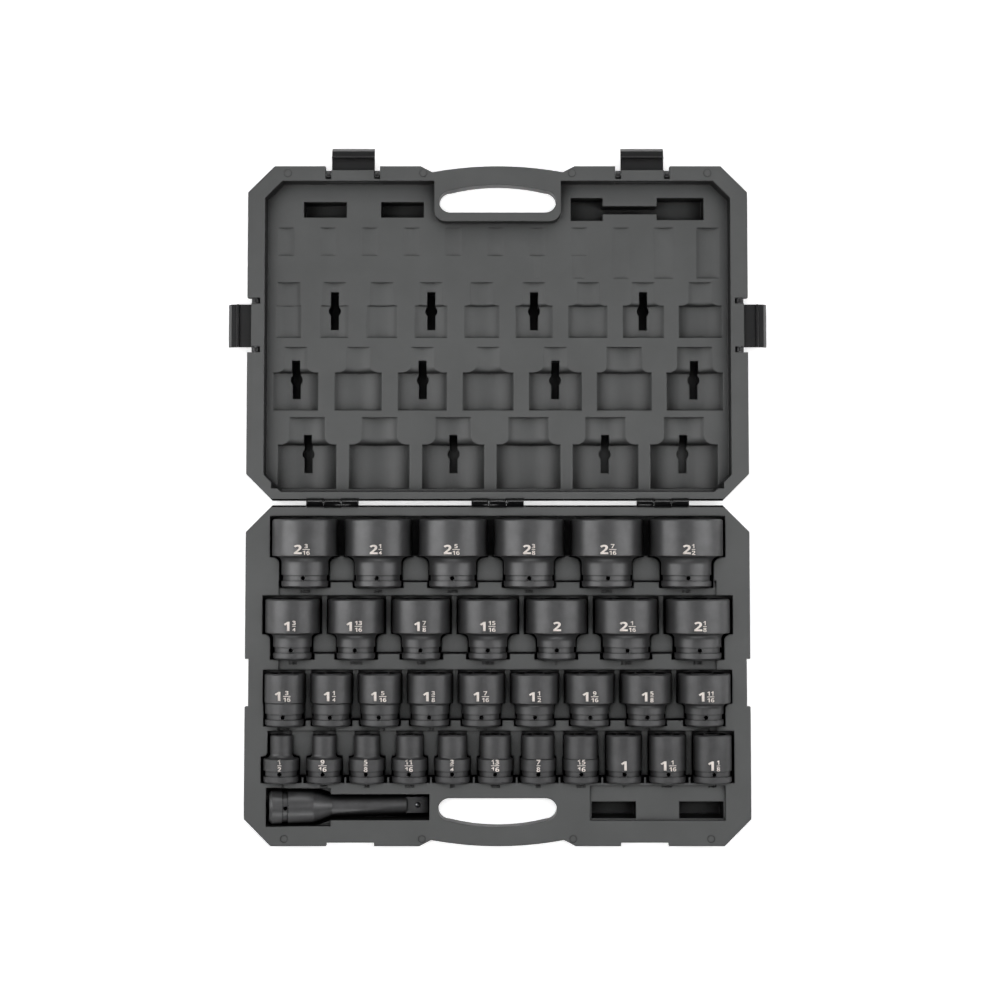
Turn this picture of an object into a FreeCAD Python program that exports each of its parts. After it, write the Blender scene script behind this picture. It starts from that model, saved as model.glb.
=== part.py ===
"""Impact socket set in a hinged, blow-moulded case that lies open flat. Millimetres, +Z up.

The origin is the centre of the tray's underside. +Y points across the hinge line to the lid, +X to the right.
"""
import FreeCAD, Part
import math
import os

import Sketcher

V = FreeCAD.Vector
DOC = FreeCAD.newDocument("socket_case")
SHEET = DOC.addObject("Spreadsheet::Sheet", "sizes")

# Driving sizes. Distances called "from_hinge" run from the hinge line along the half's floor.
SIZES = {
    # both halves of the case
    "case_width": 604, "half_length": 405, "half_depth": 58, "corner_chamfer": 32,
    "hinge_gap": 5.4, "closed_gap": 0.6, "flange_thick": 14, "body_inset": 9, "body_chamfer": 9,
    "pip_radius": 4.2, "pip_rise": 1.2, "pip_inset": 8.5, "pip_outer_x": 254, "pip_inner_x": 90,
    # carrying handle, the same loop on both halves
    "handle_lead_x": 93, "handle_dip_x": 79, "handle_dip": 7.3, "handle_depth": 26,
    "handle_base": 62, "grip_half": 70.8, "grip_back": 56.5, "grip_end_radius": 13.5, "grip_bar": 22.5,
    "bay_half": 76, "bay_back": 63,
    # hinges
    "hinge_outer_x": 198, "knuckle_radius": 4.8, "knuckle_length": 20.5, "knuckle_play": 0.6,
    "hinge_pin_radius": 2, "pin_play": 0.35, "knuckle_relief": 0.7,
    # latches
    "latch_front_x": 175.5, "latch_side_from_hinge": 214.6, "latch_width": 52, "ear_width": 5.6,
    "slot_width": 7, "latch_pin_radius": 1.5, "pin_setback": 9.7, "pin_drop": 5, "plate_offset": 6.3,
    "plate_thick": 4, "plate_tail": 7, "plate_reach": 30, "lip_reach": 34, "lip_flare": 3.2,
    "hook_start": 21, "hook_height": 3, "hook_depth": 4, "block_setback": 4.7, "block_thick": 8,
    "bay_play": 0.8, "catch_width": 57, "catch_depth": 4.2, "ear_radius": 5,
    # tray surface
    "strip_drop": 3, "island_drop": 8, "moat_width": 1.8, "moat_drop": 14, "seat_gap": 0.3,
    "nut_room": 4, "drive_room": 1.2, "field_half": 262,
    # lid surface
    "panel_drop": 20, "lid_wall": 12, "lid_wall_side": 22, "lid_wall_front": 19, "wall_draft": 3.5,
    "loop_half": 76.6, "loop_back": 67, "recess_play": 2, "slot_half": 4.8, "slot_length": 46,
    "slot_bulge": 7.2, "tack_floor": 3.5, "recess_drive_room": 3.5,
    "row1_swing": 7.5, "row2_swing": 3.5, "row3_swing": 2, "row4_swing": 2,
    # sockets
    "nut_od_base": 11.2, "nut_od_per_af": 1.21, "drive_square": 19.4, "drive_square_deep": 26,
    "web_bore": 0.8, "web_bore_most": 16, "groove_from_end": 7.5, "groove_width": 7, "groove_deep": 1.8,
    "pin_hole_radius": 2.5, "edge_chamfer": 1.6, "shoulder_share": 0.7, "mouth_lead": 1.6, "hex_room": 0.4,
    "drive_od_small": 42, "drive_od_medium": 46, "drive_od_large": 56, "drive_od_largest": 60,
    "hex_share": 0.86, "lift": 100,
    # rows of sockets, counted from the hinge: drive end's distance, length, neck, gap between sockets, bed's play
    "row1_end": 100.5, "row1_length": 81, "row1_neck": 37, "row1_gap": 8.1, "row1_play": 3, "row1_trench": 26,
    "row2_end": 186, "row2_length": 71.5, "row2_neck": 31, "row2_gap": 10, "row2_play": 4, "row2_trench": 3,
    "row3_end": 265, "row3_length": 62, "row3_neck": 27, "row3_gap": 7.2, "row3_play": 2.4, "row3_trench": 4,
    "row4_end": 332, "row4_length": 56.5, "row4_neck": 28.5, "row4_gap": 9, "row4_play": 3.6, "row4_trench": 2,
    # extension bar and its bed
    "bar_length": 190, "bar_female_od": 40, "bar_female_long": 52, "bar_taper": 22, "bar_shaft_od": 26,
    "bar_square": 19.05, "bar_square_long": 25, "bar_tilt": 9, "bar_face_height": 54, "bar_face_x": -272.6,
    "bar_from_hinge": 361.7, "bar_play": 3, "ball_radius": 3.2, "ball_show": 1.3, "ball_hole_deep": 11,
    "spring_radius": 2.4, "spring_wall": 0.8, "bar_end_room": 3,
    # accessory pocket
    "pocket_left": 110, "pocket_right": 271.5, "pocket_back": 336, "pocket_front": 377.5,
    "pocket_drop": 5, "well_back": 355.5, "well_front": 375.5, "well_width": 53, "well_floor": 8,
}


def text_of(value):
    """Sheet expression of a Size or of a plain number."""
    return value.text if isinstance(value, Size) else repr(float(value))


def number_of(value):
    """Millimetres of a Size or of a plain number."""
    return value.value if isinstance(value, Size) else float(value)


class Size:
    """A length in millimetres together with the sheet expression that drives it."""

    def __init__(self, text, value):
        self.text = text
        self.value = float(value)

    def __add__(self, other):
        return Size(f"({self.text} + {text_of(other)})", self.value + number_of(other))

    def __sub__(self, other):
        return Size(f"({self.text} - {text_of(other)})", self.value - number_of(other))

    def __rsub__(self, other):
        return Size(f"({text_of(other)} - {self.text})", number_of(other) - self.value)

    def __mul__(self, other):
        return Size(f"({self.text} * {text_of(other)})", self.value * number_of(other))

    def __truediv__(self, other):
        return Size(f"({self.text} / {text_of(other)})", self.value / number_of(other))

    def __neg__(self):
        return Size(f"(-1 * {self.text})", -self.value)

    __radd__ = __add__
    __rmul__ = __mul__


def fill_sheet():
    """One aliased cell per driving size."""
    for row, (alias, value) in enumerate(SIZES.items(), start=1):
        SHEET.set(f"A{row}", str(value))
        SHEET.setAlias(f"A{row}", alias)
    DOC.recompute()


def size(alias):
    """The Size that one sheet cell holds."""
    return Size(f"sizes.{alias}", SHEET.get(alias))


def bind(item, **sizes):
    """Ties properties of a document object to the sheet."""
    for prop, value in sizes.items():
        item.setExpression(prop, text_of(value))
    return item


def place(item, x, y, z, rotation=None):
    """Puts an object at a bound point, turned by a fixed rotation."""
    if rotation is not None:
        item.Placement = FreeCAD.Placement(V(0, 0, 0), rotation)
    for axis, value in zip("xyz", (x, y, z)):
        item.setExpression(f"Placement.Base.{axis}", text_of(value))
    return item


def ordered(a, b):
    """Two lengths, the smaller first."""
    return (a, b) if number_of(a) <= number_of(b) else (b, a)


def box(name, xs, ys, zs):
    """Part::Box between bound limits on each axis."""
    item = DOC.addObject("Part::Box", name)
    (x0, x1), (y0, y1), (z0, z1) = ordered(*xs), ordered(*ys), ordered(*zs)
    bind(item, Length=x1 - x0, Width=y1 - y0, Height=z1 - z0)
    return place(item, x0, y0, z0)


Z_TO_X = FreeCAD.Rotation(V(0, 1, 0), 90)
Z_TO_Y = FreeCAD.Rotation(V(1, 0, 0), -90)


def cylinder(name, radius, length, x, y, z, rotation=None):
    """Part::Cylinder from a bound point along the turned Z axis."""
    item = DOC.addObject("Part::Cylinder", name)
    bind(item, Radius=radius, Height=length)
    return place(item, x, y, z, rotation)


def fused(name, items):
    """Part::MultiFuse of the items."""
    joined = DOC.addObject("Part::MultiFuse", name)
    joined.Shapes = items
    joined.Refine = False
    return joined


def cut(name, base, tool):
    """Part::Cut of one item from another."""
    left = DOC.addObject("Part::Cut", name)
    left.Base = base
    left.Tool = tool
    left.Refine = False
    return left


def arc_between(start, end, radius):
    """Minor arc from start to end. It turns left where radius is positive, right where negative."""
    chord = end - start
    half = chord.Length / 2
    rise = math.sqrt(max(radius * radius - half * half, 0))
    left = V(-chord.y, chord.x, 0).normalize()
    centre = (start + end) / 2 + left * (rise if radius > 0 else -rise)
    first, last = (start, end) if radius > 0 else (end, start)
    angles = [math.atan2(p.y - centre.y, p.x - centre.x) for p in (first, last)]
    return Part.ArcOfCircle(Part.Circle(centre, V(0, 0, 1), abs(radius)), *angles)


def profile(body, name, corners):
    """Closed sketch on the body's XY plane. A corner is (x, y), or (x, y, radius) to reach it by an arc."""
    sketch = body.newObject("Sketcher::SketchObject", name)
    plane = next(f for f in body.Origin.OriginFeatures if f.Role == "XY_Plane")
    sketch.AttachmentSupport = (plane, "")
    sketch.MapMode = "FlatFace"
    points = [V(number_of(c[0]), number_of(c[1]), 0) for c in corners]
    starts = []
    ends = []
    for i, corner in enumerate(corners):
        here, before = points[i], points[i - 1]
        if len(corner) == 3:
            radius = number_of(corner[2])
            sketch.addGeometry(arc_between(before, here, radius), False)
            starts.append(1 if radius > 0 else 2)
        else:
            sketch.addGeometry(Part.LineSegment(before, here), False)
            starts.append(1)
        ends.append(3 - starts[-1])
    rules = []
    bound = []
    for i, corner in enumerate(corners):
        after = (i + 1) % len(corners)
        rules.append(Sketcher.Constraint("Coincident", i, ends[i], after, starts[after]))
        bound.append(None)
        for kind, length in zip(("DistanceX", "DistanceY"), corner):
            rules.append(Sketcher.Constraint(kind, -1, 1, i, ends[i], number_of(length)))
            bound.append(text_of(length))
        if len(corner) == 3:
            radius = corner[2] if number_of(corner[2]) > 0 else -1 * corner[2]
            rules.append(Sketcher.Constraint("Radius", i, number_of(radius)))
            bound.append(text_of(radius))
    sketch.addConstraint(rules)
    for i, text in enumerate(bound):
        if text is not None:
            sketch.setExpression(f"Constraints[{i}]", text)
    return sketch


def padded(name, corners, low, high, taper=None):
    """PartDesign body: a closed profile padded between two heights."""
    body = DOC.addObject("PartDesign::Body", name)
    pad = body.newObject("PartDesign::Pad", f"{name}_pad")
    pad.Profile = profile(body, f"{name}_outline", corners)
    bind(pad, Length=high - low)
    if taper is not None:
        pad.TaperAngle = taper
    return place(body, 0, 0, low)


def turned(name, corners):
    """PartDesign body: a half profile (radius, distance along the axis) turned about the Y axis."""
    body = DOC.addObject("PartDesign::Body", name)
    turn = body.newObject("PartDesign::Revolution", f"{name}_turn")
    sketch = profile(body, f"{name}_profile", corners)
    turn.Profile = sketch
    turn.ReferenceAxis = (sketch, ["V_Axis"])
    turn.Angle = 360
    return body


fill_sheet()
WIDTH_HALF = size("case_width") / 2
RIM = size("half_depth")
HINGE_Y = (size("half_length") + size("hinge_gap")) / 2
HINGE_Z = RIM + size("closed_gap") / 2
EDGE_NEAR = size("hinge_gap") / 2
EDGE_FAR = EDGE_NEAR + size("half_length")
TRAY, LID = -1, 1
NODES = []


def across(side, distance):
    """Y of a point at a distance from the hinge line, on the tray's or the lid's side."""
    return HINGE_Y + side * distance


def outline(side, inset):
    """Corners of a half's plain plan: a rectangle with four chamfered corners, drawn in by inset."""
    x = WIDTH_HALF - inset
    near = EDGE_NEAR + inset
    far = EDGE_FAR - inset
    slant = size("corner_chamfer") - inset * (2 - math.sqrt(2))
    corners = [(x - slant, far), (x, far - slant), (x, near + slant), (x - slant, near)]
    mirrored = [(-1 * u, d) for u, d in reversed(corners)]
    return [(u, across(side, d)) for u, d in corners + mirrored]


def flange_outline(side):
    """The plan of a half's flange: the plain plan, with the handle's bowed edge at the front."""
    plain = outline(side, 0 * size("body_inset"))
    lead, dip = size("handle_lead_x"), size("handle_dip_x")
    drop = size("handle_dip")
    bow = (dip * dip + drop * drop) / (2 * drop)
    front = across(side, EDGE_FAR)
    back = across(side, EDGE_FAR - drop)
    handle = [(-1 * lead, front), (-1 * dip, back), (dip, back, -side * bow), (lead, front)]
    return plain + handle


def grip_hole(side, name):
    """The finger gap of the carrying handle, right through the half."""
    back = EDGE_FAR - size("grip_back")
    end = size("grip_end_radius")
    wide = size("grip_half")
    flat = wide - end
    near_bar = back + 2 * end
    sag = EDGE_FAR - size("grip_bar") - near_bar
    bow = (flat * flat + sag * sag) / (2 * sag)
    turn = side * end
    corners = [
        (-1 * flat, across(side, back)),
        (flat, across(side, back)),
        (wide, across(side, back + end), turn),
        (flat, across(side, near_bar), turn),
        (-1 * flat, across(side, near_bar), side * bow),
        (-1 * wide, across(side, back + end), turn),
        (-1 * flat, across(side, back), turn),
    ]
    return padded(name, corners[1:-1] + [corners[-1]], -1 * RIM, 2 * RIM)


def handle_bar(side, name):
    """The thick part of the carrying handle, behind its bowed edge."""
    lead, dip = size("handle_lead_x"), size("handle_dip_x")
    drop = size("handle_dip")
    bow = (dip * dip + drop * drop) / (2 * drop)
    front = across(side, EDGE_FAR - drop)
    base = across(side, EDGE_FAR - size("handle_base"))
    corners = [(-1 * lead, front), (-1 * dip, front), (dip, front, -side * bow), (lead, front)]
    corners += [(lead, base), (-1 * lead, base)]
    return padded(name, corners, RIM - size("handle_depth"), RIM)


def hinge_centres():
    """X of the three hinges."""
    return [-1 * size("hinge_outer_x"), 0 * size("hinge_outer_x"), size("hinge_outer_x")]


def knuckle_spans(x):
    """X spans of one hinge's knuckles: left, middle, right."""
    reach = size("knuckle_length") / 2
    step = 2 * reach + size("knuckle_play")
    return [(x + i * step - reach, x + i * step + reach) for i in (-1, 0, 1)]


def knuckle(side, name, span):
    """A hinge barrel with the web that joins it to its half."""
    radius = size("knuckle_radius")
    barrel = cylinder(f"{name}_barrel", radius, span[1] - span[0], span[0], HINGE_Y, HINGE_Z, Z_TO_X)
    root = across(side, EDGE_NEAR + radius + size("knuckle_relief") + 1)
    web = box(f"{name}_web", span, (across(side, 0 * radius), root), (HINGE_Z - radius, RIM))
    return [barrel, web]


def knuckles(side, name):
    """The barrels of one half: the outer two of each hinge on the tray, the middle one on the lid."""
    wanted = (0, 2) if side == TRAY else (1,)
    items = []
    for i, x in enumerate(hinge_centres()):
        spans = knuckle_spans(x)
        for j in wanted:
            items += knuckle(side, f"{name}_knuckle_{i}{j}", spans[j])
    return items


def knuckle_room(side, name):
    """Notches that clear the other half's barrels, and the bores for the pins."""
    others = (1,) if side == TRAY else (0, 2)
    reach = size("knuckle_radius") + size("knuckle_relief")
    play = size("knuckle_play")
    items = []
    for i, x in enumerate(hinge_centres()):
        spans = knuckle_spans(x)
        for j in others:
            xs = (spans[j][0] - play, spans[j][1] + play)
            ys = (across(side, -1 * reach), across(side, reach))
            items.append(box(f"{name}_notch_{i}{j}", xs, ys, (HINGE_Z - reach, 2 * RIM)))
        bore = size("hinge_pin_radius") + (size("pin_play") if side == LID else 0 * play)
        length = spans[2][1] - spans[0][0] + 2 * play
        start = spans[0][0] - play
        items.append(cylinder(f"{name}_bore_{i}", bore, length, start, HINGE_Y, HINGE_Z, Z_TO_X))
    return items


def shell(side, name):
    """Outer form of one half: flange, drawn-in body with a chamfered underside, handle bar and barrels."""
    flange = padded(f"{name}_flange", flange_outline(side), RIM - size("flange_thick"), RIM)
    inset = size("body_inset")
    foot = size("body_chamfer")
    body = padded(f"{name}_body", outline(side, inset), foot, RIM)
    base = padded(f"{name}_base", outline(side, inset + foot), 0 * foot, foot, taper=45)
    bar = handle_bar(side, f"{name}_handle")
    return fused(f"{name}_form", [flange, body, base, bar] + knuckles(side, name))


def under_handle(side, name):
    """Space below the handle bar, so that a hand goes round it."""
    half = size("bay_half")
    ys = (across(side, EDGE_FAR - size("bay_back")), across(side, EDGE_FAR + 10))
    return box(name, (-1 * half, half), ys, (-1 * RIM, RIM - size("handle_depth")))


INCH = 25.4
# Sizes in sixteenths of an inch, row by row from the hinge, left to right.
ROWS = {
    "row1": range(35, 41),
    "row2": range(28, 35),
    "row3": range(19, 28),
    "row4": range(8, 19),
}
TACKED = {"row1": (0, 2, 4, 5), "row2": (0, 2, 4, 6), "row3": (1, 3, 5, 7), "row4": ()}


def size_name(sixteenths):
    """Node name of a socket, such as socket_1_3_16_in for 1-3/16 inch."""
    whole, rest = divmod(sixteenths, 16)
    words = [str(whole)] if whole else []
    if rest:
        shared = math.gcd(rest, 16)
        words += [str(rest // shared), str(16 // shared)]
    return "socket_" + "_".join(words) + "_in"


class Socket:
    """Sizes and place of one socket."""

    def __init__(self, row, sixteenths):
        self.row = row
        self.name = size_name(sixteenths)
        self.flats = INCH * sixteenths / 16
        self.nut = (size("nut_od_base") + size("nut_od_per_af") * self.flats) / 2
        self.drive = self.drive_radius(sixteenths)
        self.length = size(f"{row}_length")
        self.neck = size(f"{row}_neck")
        self.end = size(f"{row}_end")
        self.widest = self.nut if number_of(self.nut) >= number_of(self.drive) else self.drive
        self.x = None

    def drive_radius(self, sixteenths):
        """Drive ends come in a few common diameters; mid-size sockets are straight."""
        if sixteenths < 16:
            return size("drive_od_small") / 2
        if sixteenths < 19:
            return self.nut
        if sixteenths < 33:
            return size("drive_od_medium") / 2
        return size("drive_od_large" if sixteenths < 38 else "drive_od_largest") / 2


def laid_out():
    """All sockets, each row centred on the tray with even gaps."""
    sockets = []
    for row, sixteenths in ROWS.items():
        line = [Socket(row, n) for n in sixteenths]
        gap = size(f"{row}_gap")
        total = sum((2 * s.widest for s in line), (len(line) - 1) * gap)
        edge = -1 * total / 2
        for item in line:
            item.x = edge + item.widest
            edge = edge + 2 * item.widest + gap
        sockets += line
    return sockets


def socket_corners(item):
    """Half profile of a socket: drive end with its ring groove, filleted shoulder, nut end."""
    a, b, end = item.drive, item.nut, item.length
    chamfer = size("edge_chamfer")
    groove = size("groove_from_end")
    groove_top = groove + size("groove_width")
    floor = a - size("groove_deep")
    corners = [(0, 0), (a - chamfer, 0), (a, chamfer), (a, groove), (floor, groove), (floor, groove_top)]
    corners.append((a, groove_top))
    step = number_of(b) - number_of(a)
    join = item.neck
    if step > 0:
        fillet = (b - a) * size("shoulder_share")
        corners += [(a, join - fillet), (a + fillet, join, -1 * fillet), (b - chamfer / 2, join)]
        corners.append((b, join + chamfer / 2))
    elif step < 0:
        fillet = (a - b) * size("shoulder_share")
        corners += [(a, join - chamfer / 2), (a - chamfer / 2, join), (b + fillet, join)]
        corners.append((b, join + fillet, -1 * fillet))
    corners += [(b, end - chamfer), (b - chamfer, end), (0, end)]
    return corners


def make_socket(item):
    """One impact socket: turned body, hexagon, web bore, square drive and cross hole for the ring's pin."""
    y = across(TRAY, item.end)
    end = item.length
    body = place(turned(f"{item.name}_body", socket_corners(item)), item.x, y, RIM)
    corner = (item.flats + size("hex_room")) / math.sqrt(3)
    depth = (item.length - item.neck) * size("hex_share")
    hexagon = DOC.addObject("Part::Prism", f"{item.name}_hexagon")
    hexagon.Polygon = 6
    bind(hexagon, Circumradius=corner, Height=depth + 1)
    place(hexagon, item.x, y + end - depth, RIM, Z_TO_Y)
    lead = DOC.addObject("Part::Cone", f"{item.name}_mouth")
    rise = size("mouth_lead")
    bind(lead, Radius1=corner - rise, Radius2=corner + rise, Height=2 * rise)
    place(lead, item.x, y + end - rise, RIM, Z_TO_Y)
    wanted = size("web_bore") * item.flats
    most = size("web_bore_most")
    bore = wanted if number_of(wanted) < number_of(most) else most
    web = cylinder(f"{item.name}_web", bore / 2, end, item.x, y, RIM, Z_TO_Y)
    half = size("drive_square") / 2
    ys = (y - 1, y + size("drive_square_deep"))
    square = box(f"{item.name}_square", (item.x - half, item.x + half), ys, (RIM - half, RIM + half))
    height = 2 * item.drive + 2
    cross_y = y + size("groove_from_end") + size("groove_width") / 2
    cross = cylinder(f"{item.name}_cross", size("pin_hole_radius"), height, item.x, cross_y, RIM - height / 2)
    tools = fused(f"{item.name}_hollow", [hexagon, lead, web, square, cross])
    NODES.append((item.name, cut(f"{item.name}_cut", body, tools)))


def bed_corners(item, play, drive_room, nut_room, shoulder_room):
    """Half profile of the space round a socket, with rounded corners where the neck widens."""
    a = item.drive + play
    b = item.nut + play
    low = -1 * drive_room
    high = item.length + nut_room
    step = number_of(b) - number_of(a)
    corners = [(0, low), (a, low)]
    if step > 0:
        round_off = (b - a) * size("shoulder_share")
        join = item.neck - shoulder_room
        corners += [(a, join - round_off), (a + round_off, join, -1 * round_off), (b, join)]
    elif step < 0:
        round_off = (a - b) * size("shoulder_share")
        join = item.neck + shoulder_room
        corners += [(a, join), (b + round_off, join), (b, join + round_off, -1 * round_off)]
    return corners + [(b, high), (0, high)]


def tray_bed(item):
    """The bed that one socket lies in, a seat gap below it."""
    play = size(f"{item.row}_play")
    corners = bed_corners(item, play, size("drive_room"), size("nut_room"), play / 2)
    body = turned(f"{item.name}_bed", corners)
    return place(body, item.x, across(TRAY, item.end), RIM + play - size("seat_gap"))


def lid_recess(item):
    """The hollow in the lid's panel for the socket's upper half, longer where the lid swings past the socket."""
    play = size("recess_play")
    corners = bed_corners(item, play, size("recess_drive_room"), play, size(f"{item.row}_swing"))
    body = turned(f"{item.name}_recess", corners)
    turn = FreeCAD.Rotation(V(0, 0, 1), 180)
    return place(body, item.x, across(LID, item.end), RIM + size("closed_gap"), turn)


def tack_slot(item):
    """A deep keyhole slot in a lid recess, where the inner wall is pushed down to the outer one."""
    middle = across(LID, item.end - item.length / 2)
    half, reach = size("slot_half"), size("slot_length") / 2
    zs = (size("tack_floor"), RIM)
    slot = box(f"{item.name}_slot", (item.x - half, item.x + half), (middle - reach, middle + reach), zs)
    height = RIM - size("tack_floor")
    bulge = cylinder(f"{item.name}_bulge", size("slot_bulge"), height, item.x, middle, size("tack_floor"))
    return [slot, bulge]


def tray_field(sockets):
    """Lower strips between the rows, the islands between necks, and the moats that mark them off."""
    items = []
    half = size("field_half")
    over = 2 * RIM
    for row in ROWS:
        line = [s for s in sockets if s.row == row]
        xs = (line[0].x, line[-1].x)
        end, length, neck = (size(f"{row}_{part}") for part in ("end", "length", "neck"))
        nut_face = end - length - size("nut_room")
        shelf = end - size("groove_from_end") + size("moat_width")
        ys = (across(TRAY, nut_face), across(TRAY, shelf))
        items.append(box(f"{row}_islands", xs, ys, (RIM - size("island_drop"), over)))
        ys = (across(TRAY, nut_face), across(TRAY, end - neck))
        items.append(box(f"{row}_trench", xs, ys, (RIM - size(f"{row}_trench"), over)))
        ys = (across(TRAY, shelf - size("moat_width")), across(TRAY, shelf))
        items.append(box(f"{row}_moat", xs, ys, (RIM - size("moat_drop"), over)))
    spans = [("row1_end", "row2"), ("row2_end", "row3"), ("row3_end", "row4")]
    for start, row in spans:
        stop = size(f"{row}_end") - size(f"{row}_length")
        ys = (across(TRAY, size(start) - size("groove_from_end")), across(TRAY, stop))
        items.append(box(f"{row}_strip", (-1 * half, half), ys, (RIM - size("strip_drop"), over)))
    return items


def accessory_pocket():
    """Shallow pocket at the front right with two deep wells."""
    left, right = size("pocket_left"), size("pocket_right")
    ys = (across(TRAY, size("pocket_back")), across(TRAY, size("pocket_front")))
    items = [box("accessory_floor", (left, right), ys, (RIM - size("pocket_drop"), 2 * RIM))]
    ys = (across(TRAY, size("well_back")), across(TRAY, size("well_front")))
    wide = size("well_width")
    inner = 2
    for name, x in (("well_left", left + inner), ("well_right", right - wide - inner)):
        items.append(box(name, (x, x + wide), ys, (size("well_floor"), 2 * RIM)))
    return items


def bar_rotation():
    """Turns the bar's own axis to +X and dips its male end."""
    tilt = FreeCAD.Rotation(V(0, 1, 0), number_of(size("bar_tilt")))
    return tilt.multiply(FreeCAD.Rotation(V(0, 0, 1), -90))


def bar_corners(play):
    """Half profile of the extension bar from its female face: ring groove, taper, shaft."""
    chamfer = size("edge_chamfer")
    r, shaft = size("bar_female_od") / 2 + play, size("bar_shaft_od") / 2 + play
    neck = size("bar_female_long")
    slim = neck + size("bar_taper")
    long = size("bar_length") - size("bar_square_long")
    if number_of(play) > 0:
        low = -1 * size("bar_end_room")
        high = size("bar_length") + size("bar_end_room")
        return [(0, low), (r, low), (r, neck + play), (shaft, slim + play), (shaft, high), (0, high)]
    groove = 2 * size("groove_from_end")
    groove_top = groove + size("groove_width")
    floor = r - size("groove_deep")
    return [(0, 0), (r - 2 * chamfer, 0), (r, 2 * chamfer), (r, groove), (floor, groove), (floor, groove_top),
            (r, groove_top), (r, neck), (shaft, slim), (shaft, long - chamfer), (shaft - chamfer, long), (0, long)]


def bar_frame(distance, across_bar, up):
    """World point from a distance along the bar, a sideways offset and a height above its axis."""
    local = V(-number_of(across_bar), number_of(distance), number_of(up))
    start = V(number_of(size("bar_face_x")), number_of(across(TRAY, size("bar_from_hinge"))),
              number_of(size("bar_face_height")))
    return start + bar_rotation().multVec(local)


def bar_piece(name, kind, start, side, up, **sizes):
    """A primitive that lies in the bar's own tilted frame."""
    item = DOC.addObject(kind, name)
    bind(item, **sizes)
    item.Placement = FreeCAD.Placement(bar_frame(start, side, up), bar_rotation())
    return item


def make_bar():
    """The extension bar with its square socket, male square, detent ball and the spring behind the ball."""
    body = turned("bar_body", bar_corners(0 * RIM))
    body.Placement = FreeCAD.Placement(bar_frame(0, 0, 0), bar_rotation())
    male, length = size("bar_square"), size("bar_length")
    long = size("bar_square_long")
    square = bar_piece("bar_male", "Part::Box", length - long - 2, male / 2, -1 * male / 2,
                       Length=male, Width=long + 2, Height=male)
    whole = fused("bar_whole", [body, square])
    female = size("drive_square")
    hollow = bar_piece("bar_female", "Part::Box", -1, female / 2, -1 * female / 2,
                       Length=female, Width=size("drive_square_deep") + 1, Height=female)
    reach = size("bar_female_od") + 2
    middle = 2 * size("groove_from_end") + size("groove_width") / 2
    cross = bar_piece("bar_cross", "Part::Cylinder", middle, 0, -1 * reach / 2,
                      Radius=size("pin_hole_radius"), Height=reach)
    detent = length - long / 2
    ball = size("ball_radius")
    floor = male / 2 - size("ball_hole_deep")
    well = bar_piece("bar_well", "Part::Cylinder", detent, 0, floor,
                     Radius=ball + size("seat_gap") / 2, Height=size("ball_hole_deep") + 1)
    NODES.append(("extension_bar", cut("bar_cut", whole, fused("bar_hollows", [hollow, cross, well]))))
    centre = male / 2 + size("ball_show") - ball
    item = bar_piece("bar_ball", "Part::Sphere", detent, 0, centre, Radius=ball)
    NODES.append(("detent_ball", item))
    gap = size("seat_gap")
    tall = centre - ball - floor - gap
    outer = bar_piece("spring_outer", "Part::Cylinder", detent, 0, floor + gap / 2,
                      Radius=size("spring_radius"), Height=tall)
    inner = bar_piece("spring_inner", "Part::Cylinder", detent, 0, floor + gap / 2 - 1,
                      Radius=size("spring_radius") - size("spring_wall"), Height=tall + 2)
    NODES.append(("detent_spring", cut("spring_cut", outer, inner)))


def bar_bed():
    """The bed of the extension bar: a sloping trough with room above it to lift the bar out."""
    play = size("bar_play")
    lift = play - size("seat_gap")
    trough = turned("bar_trough", bar_corners(play))
    trough.Placement = FreeCAD.Placement(bar_frame(0, 0, 0) + V(0, 0, number_of(lift)), bar_rotation())
    middle = size("bar_from_hinge")
    start, room = size("bar_face_x"), size("bar_end_room")
    side_play = play - 2 * size("seat_gap")
    wide = size("bar_female_od") / 2 + side_play
    slim = size("bar_shaft_od") / 2 + side_play
    shoulder = start + size("bar_female_long") + size("bar_taper")
    dip = math.sin(math.radians(number_of(size("bar_tilt"))))
    height = size("bar_face_height") + lift
    shoulder_height = height - (size("bar_female_long") + size("bar_taper")) * dip
    end_height = height - size("bar_length") * dip
    ys = (across(TRAY, middle - wide), across(TRAY, middle + wide))
    female = box("bar_room_female", (start - room, shoulder), ys, (shoulder_height + play, 2 * RIM))
    ys = (across(TRAY, middle - slim), across(TRAY, middle + slim))
    end = start + size("bar_length") + room / 2
    shaft = box("bar_room_shaft", (shoulder - 1, end), ys, (end_height, 2 * RIM))
    return [trough, female, shaft]


LATCHES = {
    "latch_front_left": (V(0, 1, 0), "front", -1),
    "latch_front_right": (V(0, 1, 0), "front", 1),
    "latch_left": (V(-1, 0, 0), "side", -1),
    "latch_right": (V(1, 0, 0), "side", 1),
}


def latch_place(name):
    """Bound point of a latch's pivot and the rotation that takes x outwards, y up and z along the edge."""
    outward, kind, sign = LATCHES[name]
    up = V(0, 0, 1)
    along = outward.cross(up)
    turn = FreeCAD.Rotation(FreeCAD.Matrix(
        outward.x, up.x, along.x, 0, outward.y, up.y, along.y, 0, outward.z, up.z, along.z, 0, 0, 0, 0, 1))
    z = RIM - size("pin_drop")
    if kind == "front":
        return (sign * size("latch_front_x"), across(LID, EDGE_FAR - size("pin_setback")), z), turn
    x = sign * (WIDTH_HALF - size("pin_setback"))
    return (x, across(LID, size("latch_side_from_hinge")), z), turn


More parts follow.
